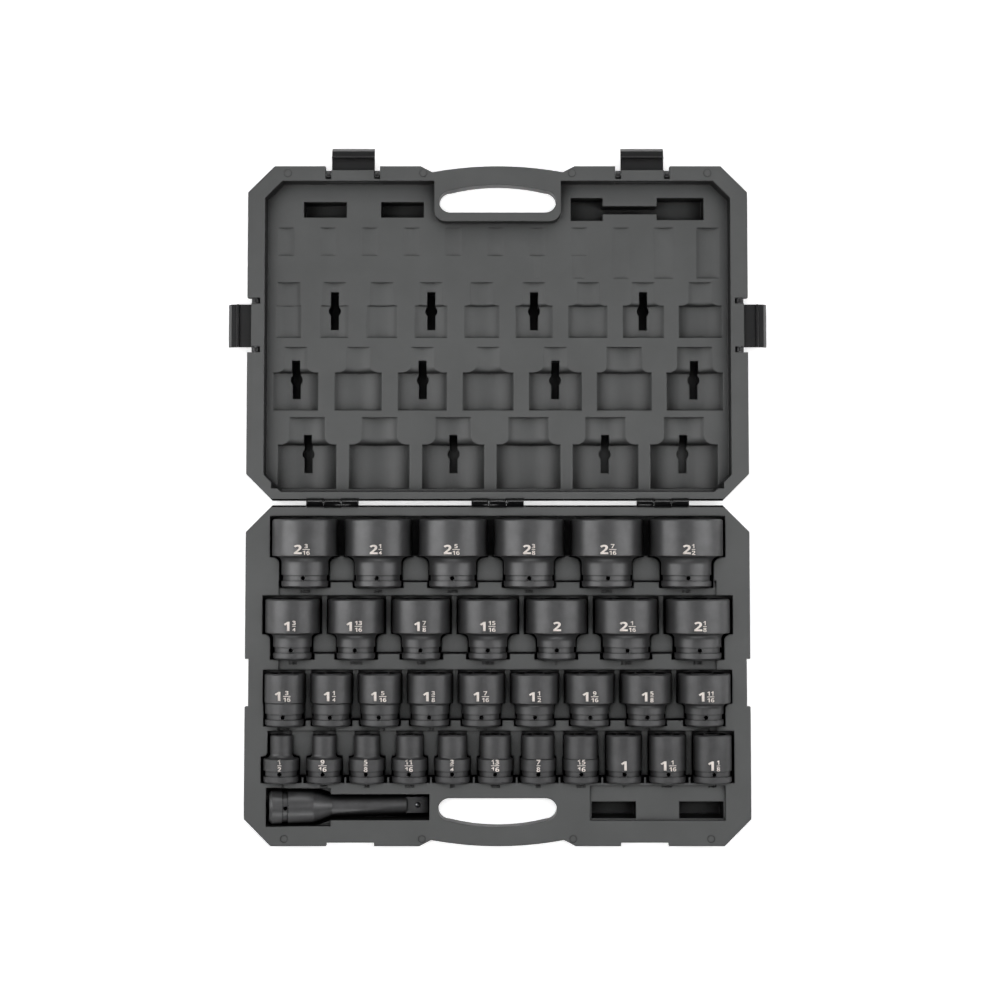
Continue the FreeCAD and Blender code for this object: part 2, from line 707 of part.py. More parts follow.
def latch_box(name, label, us, ws, vs):
    """Box in a latch's own frame: outwards from its pivot, up, and along the edge."""
    (x, y, z), turn = latch_place(name)
    item = DOC.addObject("Part::Box", f"{name}_{label}")
    bind(item, Length=us[1] - us[0], Width=ws[1] - ws[0], Height=vs[1] - vs[0])
    shift = turn.multVec(V(number_of(us[0]), number_of(ws[0]), number_of(vs[0])))
    return place(item, x + shift.x, y + shift.y, z + shift.z, turn)


def latch_rod(name, label, radius, half):
    """Cylinder on a latch's pivot line."""
    (x, y, z), turn = latch_place(name)
    item = DOC.addObject("Part::Cylinder", f"{name}_{label}")
    bind(item, Radius=radius, Height=2 * half)
    shift = turn.multVec(V(0, 0, -number_of(half)))
    return place(item, x + shift.x, y + shift.y, z + shift.z, turn)


def ear_spans():
    """Spans along the edge of a latch's two ears."""
    inner = size("latch_width") / 2 + (size("slot_width") - size("ear_width")) / 2
    outer = inner + size("ear_width")
    return (-1 * outer, -1 * inner), (inner, outer)


def make_latch(name):
    """One latch, swung open: plate with a finger lip, hook ridge, and two ears round the pivot pin."""
    half = size("latch_width") / 2
    top = -1 * size("plate_offset")
    low = top - size("plate_thick")
    reach, lip = size("plate_reach"), size("lip_reach")
    tail = -1 * size("plate_tail")
    flare = size("lip_flare")
    hook = size("hook_start")
    hook_top = top + size("hook_depth")
    ridge = hook + size("hook_height")
    body = DOC.addObject("PartDesign::Body", f"{name}_plate")
    pad = body.newObject("PartDesign::Pad", f"{name}_plate_pad")
    corners = [(tail, low), (reach - flare, low), (lip - 1, low - flare), (lip, low - flare + 1)]
    corners += [(reach, top), (ridge, top), (ridge - 1, hook_top), (hook, hook_top), (hook, top), (tail, top)]
    pad.Profile = profile(body, f"{name}_section", corners)
    bind(pad, Length=2 * half)
    (x, y, z), turn = latch_place(name)
    shift = turn.multVec(V(0, 0, -number_of(half)))
    place(body, x + shift.x, y + shift.y, z + shift.z, turn)
    spans = ear_spans()
    bar = latch_box(name, "tail", (tail, size("ear_radius")), (low, top), (spans[0][0], spans[1][1]))
    parts = [body, bar]
    ear = size("ear_radius")
    for i, span in enumerate(spans):
        parts.append(latch_box(name, f"ear_{i}", (-1 * ear, ear), (low, 0 * ear), span))
        (x, y, z), turn = latch_place(name)
        disc = DOC.addObject("Part::Cylinder", f"{name}_disc_{i}")
        bind(disc, Radius=ear, Height=span[1] - span[0])
        shift = turn.multVec(V(0, 0, number_of(span[0])))
        parts.append(place(disc, x + shift.x, y + shift.y, z + shift.z, turn))
    bore = latch_rod(name, "bore", size("latch_pin_radius") + size("pin_play"), spans[1][1] + 1)
    NODES.append((name, cut(f"{name}_cut", fused(f"{name}_whole", parts), bore)))


def pin_half():
    """Half length of a latch pin, which ends in the flange beside the slots."""
    return size("latch_width") / 2 + size("slot_width") + 3


def latch_room(name):
    """What the lid leaves free for one latch: the bay below its block, two slots and the pin's bore."""
    half = size("latch_width") / 2
    slot = half + size("slot_width")
    far = size("pin_setback") + 5
    play = size("bay_play")
    block = size("pin_setback") - size("block_setback")
    under = size("pin_drop") - size("block_thick")
    deep = -1 * (size("plate_offset") + size("plate_thick") + 5 * play)
    back = -1 * (size("plate_tail") + 2 * play)
    ear = size("ear_radius") + play
    items = [
        latch_box(name, "bay", (back, far), (deep - size("lip_flare"), under), (-1 * slot, slot)),
        latch_box(name, "front", (block, far), (deep, size("pin_drop") + 1), (-1 * slot, slot)),
        latch_rod(name, "lid_bore", size("latch_pin_radius"), pin_half()),
    ]
    for i, sign in enumerate((-1, 1)):
        span = ordered(sign * half, sign * slot)
        items.append(latch_box(name, f"slot_{i}", (-1 * ear, far), (deep, size("pin_drop") + 1), span))
    return items


def catch_notches():
    """Notches in the tray's flange where the closed latches lie."""
    half, deep = size("catch_width") / 2, size("catch_depth")
    zs = (RIM - size("flange_thick"), 2 * RIM)
    items = []
    for sign in (-1, 1):
        x = sign * size("latch_front_x")
        ys = (across(TRAY, EDGE_FAR - deep), across(TRAY, EDGE_FAR + 5))
        items.append(box("catch_front", (x - half, x + half), ys, zs))
        y = across(TRAY, size("latch_side_from_hinge"))
        xs = (sign * (WIDTH_HALF - deep), sign * (WIDTH_HALF + 5))
        items.append(box("catch_side", xs, (y - half, y + half), zs))
    return items


def pips(side, name, radius, low, high):
    """Round alignment studs, or the dimples that take them, along the front flange."""
    y = across(side, EDGE_FAR - size("pip_inset"))
    items = []
    for alias in ("pip_outer_x", "pip_inner_x"):
        for sign in (-1, 1):
            items.append(cylinder(f"{name}_pip", radius, high - low, sign * size(alias), y, low))
    return items


def lid_cavity():
    """The lid's inner space above its panel, drawn round the handle's finger gap."""
    x = WIDTH_HALF - size("lid_wall_side")
    near = EDGE_NEAR + size("lid_wall")
    far = EDGE_FAR - size("lid_wall_front")
    slant = size("corner_chamfer") - size("lid_wall")
    corners = [(x - slant, far), (x, far - slant), (x, near + slant), (x - slant, near)]
    corners += [(-1 * u, d) for u, d in reversed(corners)]
    floor = RIM - size("panel_drop")
    draft = number_of(size("wall_draft"))
    space = padded("lid_space", [(u, across(LID, d)) for u, d in corners], floor, RIM + 1, taper=draft)
    half = size("loop_half")
    back = EDGE_FAR - size("loop_back")
    turn = size("grip_end_radius")
    loop = [(-1 * half, back + turn), (-1 * half + turn, back, turn), (half - turn, back), (half, back + turn, turn)]
    loop += [(half, EDGE_FAR), (-1 * half, EDGE_FAR)]
    core = padded("lid_loop", [(u, across(LID, d), *r) for u, d, *r in loop], floor - 1, RIM + 2)
    return cut("lid_cavity", space, core)


def lid_wells():
    """Dark wells beyond the last row of the lid: two squares on the left, a bar-shaped one on the right."""
    zs = (size("well_floor"), RIM)
    spans = {
        "left_1": (-236, -184, 348, 367), "left_2": (-142, -90, 348, 367),
        "bar_1": (89, 128, 344, 372), "bar_2": (127, 195, 352, 362), "bar_3": (194, 251, 345, 372),
    }
    items = []
    for name, (x0, x1, near, far) in spans.items():
        ys = (across(LID, 1.0 * near), across(LID, 1.0 * far))
        items.append(box(f"lid_well_{name}", (Size(str(x0), x0), Size(str(x1), x1)), ys, zs))
    return items


def make_tray(sockets):
    """Lower half of the case."""
    tools = [tray_bed(s) for s in sockets] + tray_field(sockets) + accessory_pocket() + bar_bed()
    tools += [grip_hole(TRAY, "tray_grip"), under_handle(TRAY, "tray_hand_room")] + catch_notches()
    tools += knuckle_room(TRAY, "tray")
    rise = size("pip_rise") + size("seat_gap")
    tools += pips(TRAY, "tray", size("pip_radius") + size("seat_gap"), RIM - rise, RIM + 1)
    NODES.append(("tray", cut("tray_cut", shell(TRAY, "tray"), fused("tray_tools", tools))))


def make_lid(sockets):
    """Upper half of the case, lying open."""
    tools = [lid_cavity()] + [lid_recess(s) for s in sockets] + lid_wells()
    for row, places in TACKED.items():
        line = [s for s in sockets if s.row == row]
        for i in places:
            tools += tack_slot(line[i])
    tools += [grip_hole(LID, "lid_grip"), under_handle(LID, "lid_hand_room")] + knuckle_room(LID, "lid")
    for name in LATCHES:
        tools += latch_room(name)
    form = shell(LID, "lid")
    studs = pips(LID, "lid", size("pip_radius"), RIM - 1, RIM + size("pip_rise"))
    body = cut("lid_hollowed", form, fused("lid_tools", tools))
    NODES.append(("lid", fused("lid_whole", [body] + studs)))


def make_pins():
    """Steel pins: three through the hinges, four through the latches."""
    play = size("knuckle_play")
    pins = []
    for i, x in enumerate(hinge_centres()):
        spans = knuckle_spans(x)
        length = spans[2][1] - spans[0][0]
        pins.append(cylinder(f"hinge_pin_{i}", size("hinge_pin_radius"), length, spans[0][0], HINGE_Y,
                             HINGE_Z, Z_TO_X))
    NODES.append(("hinge_pins", fused("hinge_pins_group", pins)))
    rods = [latch_rod(name, "pin", size("latch_pin_radius"), pin_half() - play) for name in LATCHES]
    NODES.append(("latch_pins", fused("latch_pins_group", rods)))


def write_parts():
    """Checks every object, then writes one STEP file per node."""
    DOC.recompute()
    for item in DOC.Objects:
        if {"Invalid", "Error"} & set(item.State):
            raise RuntimeError(f"{item.Name} failed: {item.State}")
    os.makedirs("parts", exist_ok=True)
    for name, item in NODES:
        item.Label = name
        if item.Shape.isNull() or not item.Shape.isValid():
            raise RuntimeError(f"{name} has no valid shape")
    for name, item in NODES:
        item.Shape.exportStep(f"parts/{name}.step")
        print(name, len(item.Shape.Solids), round(item.Shape.Volume))


def main():
    sockets = laid_out()
    for item in sockets:
        make_socket(item)
    make_bar()
    for name in LATCHES:
        make_latch(name)
    make_pins()
    make_tray(sockets)
    make_lid(sockets)
    write_parts()


main()
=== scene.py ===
"""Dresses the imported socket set: finishes for the case and the steel, size marks, moulded marks and a studio."""

import math

import bpy
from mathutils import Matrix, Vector


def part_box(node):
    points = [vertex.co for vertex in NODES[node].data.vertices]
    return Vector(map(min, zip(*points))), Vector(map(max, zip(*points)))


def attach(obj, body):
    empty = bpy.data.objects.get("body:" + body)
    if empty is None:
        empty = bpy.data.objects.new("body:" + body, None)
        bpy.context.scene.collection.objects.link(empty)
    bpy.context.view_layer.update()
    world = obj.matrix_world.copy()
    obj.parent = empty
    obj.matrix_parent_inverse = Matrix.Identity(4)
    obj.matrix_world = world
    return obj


bl_info = {
    "name": "Socket Set Dressing",
    "version": (1, 0, 0),
    "blender": (4, 5, 0),
    "location": "View3D > Sidebar > Socket Set",
    "description": "Finishes and marks for a socket set that lies in its open case",
    "category": "Object",
}

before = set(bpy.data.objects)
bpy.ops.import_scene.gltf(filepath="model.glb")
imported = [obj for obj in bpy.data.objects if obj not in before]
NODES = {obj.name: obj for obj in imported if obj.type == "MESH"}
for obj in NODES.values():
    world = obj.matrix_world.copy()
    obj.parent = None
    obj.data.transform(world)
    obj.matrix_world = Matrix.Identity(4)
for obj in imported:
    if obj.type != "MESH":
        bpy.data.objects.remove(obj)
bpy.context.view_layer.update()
SOCKETS = sorted(name for name in NODES if name.startswith("socket_"))
LATCHES = sorted(name for name in NODES if name.startswith("latch_") and name != "latch_pins")

# Painted shade in gaps and inner corners: the reach in metres, the open share of the sky below which a place is
# darkest and above which it is plain, and how much of the colour is left where it is darkest.
PLASTIC_CREVICE_SHADE = ((0.04, 0.2, 0.45, 0.03), (0.022, 0.38, 0.72, 0.06), (0.004, 0.4, 0.8, 0.3))
LID_CREVICE_SHADE = PLASTIC_CREVICE_SHADE + ((0.06, 0.55, 0.85, 0.5),)
STEEL_CREVICE_SHADE = ((0.03, 0.2, 0.55, 0.05), (0.012, 0.5, 0.9, 0.15), (0.003, 0.45, 0.85, 0.12))
# Painted shade on the steep walls of beds and recesses: how level a face is where it is darkest and where it is plain,
# what is then left of the colour, and the reach and the open shares of the sky that tell the inside of a recess from
# the outside.
WALL_STEEP, WALL_LEVEL, WALL_DARK = 0.68, 0.92, 0.08
RECESS_REACH, RECESS_INSIDE, RECESS_OUTSIDE = 0.06, 0.68, 0.84
SHADE_SAMPLES = 6

# Widths of the finishes' patterns in metres.
PIGMENT_DRIFT = 1 / 16
COAT_PATCH = 1 / 55
COAT_CRYSTAL = 1 / 2500
PIN_SCRATCH = 1 / 900
INK_THINNING = 1 / 700

# Finishes that don't change from one set to another: roughness, and radii to which edges look rounded, in metres.
CASE_ROUGHNESS = 0.5
LATCH_ROUGHNESS = 0.34
LATCH_EDGE = 0.0006
STEEL_EDGE = 0.0006
RUBBED_COLOUR = "#0c0c0d"
RUBBED_ROUGHNESS_SHARE = 0.25
RUBBED_FADE = 0.0002

# Rows of sockets: a Y that only the drive ends of this row and those behind it pass, and how far from its drive end
# the size mark lies.
ROWS = ((0.06, 0.0452), (-0.02, 0.0401), (-0.09, 0.0362), (-1.0, 0.0215))

# Figures: the first bold sans figure, the height of figures in a font of size 1, their spacing, and how much bolder
# than drawn they are, as a share of their height.
BOLD_FIGURES = 0x1D7EC
FIGURE_HEIGHT = 0.73
FIGURE_SPACING = 0.94
SIZE_BOLD = 0.016
BED_BOLD = 0.03
# A size mark is drawn this far above its socket and cut into strips of this width, then dropped.
MARK_DROP = 0.01
MARK_STRIP = 0.0016
# Moulded marks: how far in front of the drive end, from what height they are dropped, and how far they stand proud.
BED_MARK_AHEAD = 0.0052
BED_MARK_DROP = 0.09
BED_MARK_RELIEF = 0.0004

# Lamps as name, place, width and length, share of their power, and whether they show in shiny surfaces.
LAMPS = (
    ("strip_left", (-1.45, 0.2, 1.1), (0.35, 1.8), 1.0, True),
    ("strip_right", (1.45, 0.2, 1.1), (0.35, 1.8), 0.8, True),
    ("strip_back", (0.0, 1.75, 1.1), (1.8, 0.35), 0.8, True),
    ("strip_front", (0.0, -1.35, 1.1), (1.8, 0.35), 0.6, True),
    ("softbox_top", (0.0, 0.25, 2.4), (1.7, 1.2), 1.0, False),
)
LAMP_TARGET = (0, 0.205, 0.05)
CAMERA_TARGET = (0.0029, 0.317, 0.058)
CAMERA_SHIFT = -0.09
SENSOR_WIDTH = 36
FLOOR_SIZE = 12
FLOOR_PLACE = (0, 0.2, -0.0002)
PAPER_GLOW = 0.62


def linear(code):
    """Linear RGBA of an sRGB hex colour such as "#3a3b3d"."""
    parts = [int(code[i:i + 2], 16) / 255 for i in (1, 3, 5)]
    return tuple(c / 12.92 if c <= 0.04045 else ((c + 0.055) / 1.055) ** 2.4 for c in parts) + (1.0,)


class CaseFinish(bpy.types.PropertyGroup):
    plastic: bpy.props.FloatVectorProperty(
        name="Case plastic", description="Colour of the blow-moulded halves", subtype="COLOR", size=4,
        default=linear("#4a4b4b"), min=0, max=1)
    latch: bpy.props.FloatVectorProperty(
        name="Latch plastic", description="Colour of the injection-moulded latches", subtype="COLOR", size=4,
        default=linear("#1c1c1d"), min=0, max=1)
    grain: bpy.props.FloatProperty(
        name="Grain", description="Width of one pebble of the moulded grain", unit="LENGTH",
        default=0.0011, min=0.0002, max=0.01)
    edge: bpy.props.FloatProperty(
        name="Edge radius", description="Radius to which moulded edges look rounded", unit="LENGTH",
        default=0.0026, min=0.0, max=0.005)
    barrel: bpy.props.FloatProperty(
        name="Hinge barrels", description="How far from the hinge's axis the plastic is polished", unit="LENGTH",
        default=0.0049, min=0.0, max=0.02)


class SteelFinish(bpy.types.PropertyGroup):
    phosphate: bpy.props.FloatVectorProperty(
        name="Phosphate", description="Colour of the black phosphate on the sockets", subtype="COLOR", size=4,
        default=linear("#464647"), min=0, max=1)
    bar: bpy.props.FloatVectorProperty(
        name="Bar", description="Colour of the oiled phosphate on the extension bar", subtype="COLOR", size=4,
        default=linear("#484849"), min=0, max=1)
    bright: bpy.props.FloatVectorProperty(
        name="Bright steel", description="Colour of pins and the detent ball", subtype="COLOR", size=4,
        default=linear("#b4b6b8"), min=0, max=1)
    turning: bpy.props.FloatProperty(
        name="Turning marks", description="Distance between the lathe's marks", unit="LENGTH",
        default=0.0007, min=0.0001, max=0.005)


class SizeMarks(bpy.types.PropertyGroup):
    paint: bpy.props.FloatVectorProperty(
        name="Paint", description="Colour of the size marks", subtype="COLOR", size=4,
        default=linear("#f2e9e2"), min=0, max=1)
    height: bpy.props.FloatProperty(
        name="Height", description="Height of a whole number", unit="LENGTH", default=0.0108, min=0.003, max=0.03)
    breadth: bpy.props.FloatProperty(
        name="Breadth", description="How much broader than drawn the figures are", default=1.22, min=0.5, max=2)
    thick: bpy.props.FloatProperty(
        name="Thickness", description="How far the paint stands proud", unit="LENGTH", default=0.00012, min=0.00002,
        max=0.001)
    bed_height: bpy.props.FloatProperty(
        name="Bed mark height", description="Height of the moulded marks beside the beds", unit="LENGTH",
        default=0.0034, min=0.001, max=0.01)


class Studio(bpy.types.PropertyGroup):
    floor: bpy.props.FloatVectorProperty(
        name="Floor", description="Colour of the floor", subtype="COLOR", size=4,
        default=linear("#f6f6f6"), min=0, max=1)
    focal: bpy.props.FloatProperty(
        name="Lens", description="Focal length on a 36 mm sensor", subtype="DISTANCE_CAMERA", default=75.6, min=10,
        max=200)
    distance: bpy.props.FloatProperty(
        name="Distance", description="From the rims up to the camera", unit="LENGTH", default=2.5266, min=0.5, max=5)
    tilt: bpy.props.FloatProperty(
        name="Tilt", description="How far the camera leans from straight down", unit="ROTATION",
        default=math.radians(3.4), min=0, max=0.5)
    side_power: bpy.props.FloatProperty(
        name="Strip lights", description="Power of the strip on the left, the brightest", unit="POWER", default=20,
        min=0, max=500)
    top_power: bpy.props.FloatProperty(
        name="Top softbox", description="Power of the softbox above", unit="POWER", default=55, min=0, max=500)
    ambient: bpy.props.FloatProperty(
        name="Room light", description="Strength of the light from all round", default=0.03, min=0, max=2)


def settings(name):
    """One of this file's property groups on the scene."""
    return getattr(bpy.context.scene, name)


def add_node(tree, kind, place, values=None, links=None, **options):
    """Adds a node with its options, plain input values and links from other sockets."""
    node = tree.nodes.new(kind)
    node.location = place
    for key, value in options.items():
        setattr(node, key, value)
    for key, value in (values or {}).items():
        node.inputs[key].default_value = value
    for key, source in (links or {}).items():
        tree.links.new(source, node.inputs[key])
    return node


def new_material(name):
    """An empty node material with its output."""
    material = bpy.data.materials.new(name)
    material.use_nodes = True
    material.node_tree.nodes.clear()
    return material, material.node_tree


def finish_with(tree, shader):
    """Joins a shader to the material's output."""
    add_node(tree, "ShaderNodeOutputMaterial", (900, 0), links={"Surface": shader.outputs[0]})


def moulded_plastic(name, colour, grain, edge, roughness, crevice_shade, hinge=None):
    """Moulded plastic: pigmented through, so no coat; a pebbled tool surface breaks up the shine.

    hinge is (y, z, radius) of the barrels that rubbing has polished, where the piece has any.
    """
    material, tree = new_material(name)
    coordinates = add_node(tree, "ShaderNodeTexCoord", (-1200, 0))
    where = coordinates.outputs["Object"]
    # Pebbles about one millimetre wide, drawn at their real size.
    pebble = add_node(tree, "ShaderNodeTexNoise", (-900, -300), {"Scale": 1 / grain, "Detail": 3.0, "Roughness": 0.6},
                      {"Vector": where})
    # Slow drift of the pigment, some 60 mm across.
    drift = add_node(tree, "ShaderNodeTexNoise", (-900, 100),
                     {"Scale": 1 / PIGMENT_DRIFT, "Detail": 4.0, "Roughness": 0.55}, {"Vector": where})
    tone = add_node(tree, "ShaderNodeValToRGB", (-650, 150), links={"Fac": drift.outputs["Fac"]})
    tone.color_ramp.elements[0].position = 0.3
    tone.color_ramp.elements[1].position = 0.7
    tone.color_ramp.elements[0].color = tuple(0.9 * c for c in colour[:3]) + (1,)
    tone.color_ramp.elements[1].color = tuple(min(1.08 * c, 1) for c in colour[:3]) + (1,)
    gloss = add_node(tree, "ShaderNodeMapRange", (-650, -100),
                     {"To Min": roughness - 0.05, "To Max": roughness + 0.07}, {"Value": pebble.outputs["Fac"]})
    # Painted shade in deep gaps and along inner corners.
    shade = painted_crevice_shade(tree, tone.outputs["Color"], crevice_shade)
    shine = gloss.outputs["Result"]
    if hinge:
        # Painted shade on the steep walls inside beds and recesses.
        shade = painted_wall_shade(tree, coordinates.outputs["Normal"], shade)
        shade, shine = rubbed(tree, where, shade, shine, hinge)
    soft_edge = add_node(tree, "ShaderNodeBevel", (-650, -450), {"Radius": edge}, samples=SHADE_SAMPLES)
    bump = add_node(tree, "ShaderNodeBump", (-400, -300), {"Strength": 0.22, "Distance": 0.00012},
                    {"Height": pebble.outputs["Fac"], "Normal": soft_edge.outputs["Normal"]})
    shader = add_node(tree, "ShaderNodeBsdfPrincipled", (500, 0), {"IOR": 1.5, "Specular IOR Level": 0.5},
                      {"Base Color": shade, "Roughness": shine, "Normal": bump.outputs["Normal"]})
    finish_with(tree, shader)
    return material


def phosphate_steel(name, colour, turning):
    """Manganese phosphate on turned steel, oiled: near black, with a satin shine and faint lathe marks."""
    material, tree = new_material(name)
    where = add_node(tree, "ShaderNodeTexCoord", (-1400, 0)).outputs["Object"]
    # Lathe marks run round a socket's axis, so they change along Y only. On the bar they lie lengthwise.
    along = add_node(tree, "ShaderNodeMapping", (-1200, -200), {"Scale": (0.02, 1.0, 0.02)}, {"Vector": where})
    marks = add_node(tree, "ShaderNodeTexNoise", (-950, -250), {"Scale": 1 / turning, "Detail": 2.0},
                     {"Vector": along.outputs["Vector"]})
    # Crystals of the coat, drawn 0.4 mm across so that they show at all in the render.
    crystal = add_node(tree, "ShaderNodeTexNoise", (-950, -500), {"Scale": 1 / COAT_CRYSTAL, "Detail": 2.0},
                       {"Vector": where})
    # Patches where the oil has dried, some 18 mm across.
    patch = add_node(tree, "ShaderNodeTexNoise", (-950, 100),
                     {"Scale": 1 / COAT_PATCH, "Detail": 5.0, "Roughness": 0.6}, {"Vector": where})
    tone = add_node(tree, "ShaderNodeValToRGB", (-650, 150), links={"Fac": patch.outputs["Fac"]})
    tone.color_ramp.elements[0].position = 0.32
    tone.color_ramp.elements[1].position = 0.72
    tone.color_ramp.elements[0].color = tuple(0.8 * c for c in colour[:3]) + (1,)
    tone.color_ramp.elements[1].color = tuple(min(1.15 * c, 1) for c in colour[:3]) + (1,)
    gloss = add_node(tree, "ShaderNodeMapRange", (-650, -100), {"To Min": 0.36, "To Max": 0.5},
                     {"Value": marks.outputs["Fac"]})
    coat = add_node(tree, "ShaderNodeMix", (-650, -400), {"Factor": 0.5},
                    {"A": marks.outputs["Fac"], "B": crystal.outputs["Fac"]}, data_type="FLOAT")
    soft_edge = add_node(tree, "ShaderNodeBevel", (-650, -650), {"Radius": STEEL_EDGE}, samples=SHADE_SAMPLES)
    bump = add_node(tree, "ShaderNodeBump", (-400, -400), {"Strength": 0.12, "Distance": 0.00006},
                    {"Height": coat.outputs[0], "Normal": soft_edge.outputs["Normal"]})
    # The colour carries painted shade in gaps and along inner corners.
    shader = add_node(tree, "ShaderNodeBsdfPrincipled", (500, 0), {"Metallic": 0.35, "Specular IOR Level": 0.6},
                      {"Base Color": painted_crevice_shade(tree, tone.outputs["Color"], STEEL_CREVICE_SHADE),
                       "Roughness": gloss.outputs["Result"], "Normal": bump.outputs["Normal"]})
    finish_with(tree, shader)
    return material


def drawn_steel(name, colour):
    """Drawn steel: bright, with fine scratches that dull it in places, about 1 mm apart."""
    material, tree = new_material(name)
    where = add_node(tree, "ShaderNodeTexCoord", (-1200, 0)).outputs["Object"]
    scratch = add_node(tree, "ShaderNodeTexNoise", (-900, 0), {"Scale": 1 / PIN_SCRATCH, "Detail": 3.0},
                       {"Vector": where})
    tone = add_node(tree, "ShaderNodeValToRGB", (-650, 150), links={"Fac": scratch.outputs["Fac"]})
    tone.color_ramp.elements[0].color = tuple(0.75 * c for c in colour[:3]) + (1,)
    tone.color_ramp.elements[1].color = colour
    gloss = add_node(tree, "ShaderNodeMapRange", (-650, -100), {"To Min": 0.22, "To Max": 0.38},
                     {"Value": scratch.outputs["Fac"]})
    shader = add_node(tree, "ShaderNodeBsdfPrincipled", (500, 0), {"Metallic": 1.0},
                      {"Base Color": tone.outputs["Color"], "Roughness": gloss.outputs["Result"]})
    finish_with(tree, shader)
    return material


def pad_print(name, colour):
    """Pad-printed ink: matt, a little thin in spots some 1.4 mm across."""
    material, tree = new_material(name)
    where = add_node(tree, "ShaderNodeTexCoord", (-1200, 0)).outputs["Object"]
    thin = add_node(tree, "ShaderNodeTexNoise", (-900, 0), {"Scale": 1 / INK_THINNING, "Detail": 3.0},
                    {"Vector": where})
    tone = add_node(tree, "ShaderNodeValToRGB", (-650, 150), links={"Fac": thin.outputs["Fac"]})
    tone.color_ramp.elements[0].position = 0.25
    tone.color_ramp.elements[0].color = tuple(0.82 * c for c in colour[:3]) + (1,)
    tone.color_ramp.elements[1].color = colour
    shader = add_node(tree, "ShaderNodeBsdfPrincipled", (500, 0), {"Roughness": 0.6, "Specular IOR Level": 0.3},
                      {"Base Color": tone.outputs["Color"]})
    finish_with(tree, shader)
    return material


def painted_wall_shade(tree, normal, colour):
    """Paints shade onto the steep walls inside beds and recesses, which light from above only grazes."""
    facing = add_node(tree, "ShaderNodeSeparateXYZ", (-600, 1700), links={0: normal})
    level = add_node(tree, "ShaderNodeMath", (-400, 1700), links={0: facing.outputs["Z"]}, operation="ABSOLUTE")
    steep = add_node(tree, "ShaderNodeMapRange", (-200, 1700),
                     {"From Min": WALL_STEEP, "From Max": WALL_LEVEL, "To Min": WALL_DARK},
                     {"Value": level.outputs[0]})
    open_sky = add_node(tree, "ShaderNodeAmbientOcclusion", (-400, 1950), {"Distance": RECESS_REACH},
                        samples=SHADE_SAMPLES)
    outside = add_node(tree, "ShaderNodeMapRange", (-200, 1950),
                       {"From Min": RECESS_INSIDE, "From Max": RECESS_OUTSIDE}, {"Value": open_sky.outputs["AO"]})
    light = add_node(tree, "ShaderNodeMath", (0, 1700), operation="MAXIMUM",
                     links={0: steep.outputs["Result"], 1: outside.outputs["Result"]})
    shade = add_node(tree, "ShaderNodeMix", (200, 1700), {"Factor": 1.0}, {6: colour, 7: light.outputs[0]},
                     data_type="RGBA", blend_type="MULTIPLY")
    return shade.outputs[2]


def rubbed(tree, where, colour, roughness, hinge):
    """Colour and roughness of plastic that turns dark and shiny close to a hinge's axis along X."""
    y, z, radius = hinge
    across = add_node(tree, "ShaderNodeVectorMath", (-400, 1300), {1: (0, 1, 1)}, {0: where}, operation="MULTIPLY")
    away = add_node(tree, "ShaderNodeVectorMath", (-200, 1300), {1: (0, y, z)}, {0: across.outputs["Vector"]},
                    operation="DISTANCE")
    plain = add_node(tree, "ShaderNodeMapRange", (0, 1300), {"From Min": radius, "From Max": radius + RUBBED_FADE},
                     {"Value": away.outputs["Value"]})
    dark = add_node(tree, "ShaderNodeMix", (200, 1300), {6: linear(RUBBED_COLOUR)},
                    {"Factor": plain.outputs["Result"], 7: colour}, data_type="RGBA")
    shiny = add_node(tree, "ShaderNodeMapRange", (200, 1050), {"To Min": RUBBED_ROUGHNESS_SHARE},
                     {"Value": plain.outputs["Result"]})
    rough = add_node(tree, "ShaderNodeMath", (400, 1050), links={0: roughness, 1: shiny.outputs["Result"]},
                     operation="MULTIPLY")
    return dark.outputs[2], rough.outputs[0]


def painted_crevice_shade(tree, colour, scales):
    """Paints shade into a colour down deep gaps and along inner corners, where little light comes."""
    for i, (reach, least, most, dark) in enumerate(scales):
        y = 350 + 300 * i
        open_sky = add_node(tree, "ShaderNodeAmbientOcclusion", (-400, y), {"Distance": reach}, samples=SHADE_SAMPLES)
        level = add_node(tree, "ShaderNodeMapRange", (-200, y), {"From Min": least, "From Max": most, "To Min": dark},
                         {"Value": open_sky.outputs["AO"]})
        shade = add_node(tree, "ShaderNodeMix", (0, y), {"Factor": 1.0}, {6: colour, 7: level.outputs["Result"]},
                         data_type="RGBA", blend_type="MULTIPLY")
        colour = shade.outputs[2]
    return colour


def wear(name, material):
    """Gives a CAD node one material."""
    slots = NODES[name].data.materials
    slots.clear()
    slots.append(material)


def only(item):
    """Selects one object and makes it active."""
    bpy.ops.object.select_all(action="DESELECT")
    item.select_set(True)
    bpy.context.view_layer.objects.active = item


def inches(name):
    """(whole, over, under) of a socket's size, as text. Parts that the size lacks are empty."""
    words = name.split("_")[1:-1]
    if len(words) == 1:
        return words[0], "", ""
    if len(words) == 2:
        return "", words[0], words[1]
    return words[0], words[1], words[2]


def lettering(text, height, place, bold):
    """Flat text as a mesh, its middle at place, with figures of that height."""
    bpy.ops.object.select_all(action="DESELECT")
    bpy.ops.object.text_add(location=(0, 0, 0))
    item = bpy.context.object
    # The bold sans figures of the mathematical block are broad, and their 1 has a flag. Their 4 fills up when small.
    item.data.body = "".join(chr(BOLD_FIGURES + int(c)) if c.isdigit() and c != "4" else c for c in text)
    item.data.align_x = "CENTER"
    item.data.size = height / FIGURE_HEIGHT
    item.data.offset = bold * height
    item.data.resolution_u = 4
    item.data.space_character = FIGURE_SPACING
    bpy.ops.object.convert(target="MESH")
    item = bpy.context.object
    bpy.ops.object.mode_set(mode="EDIT")
    bpy.ops.mesh.select_all(action="SELECT")
    bpy.ops.transform.translate(value=(place[0], place[1] - height / 2, place[2]))
    bpy.ops.object.mode_set(mode="OBJECT")
    return item


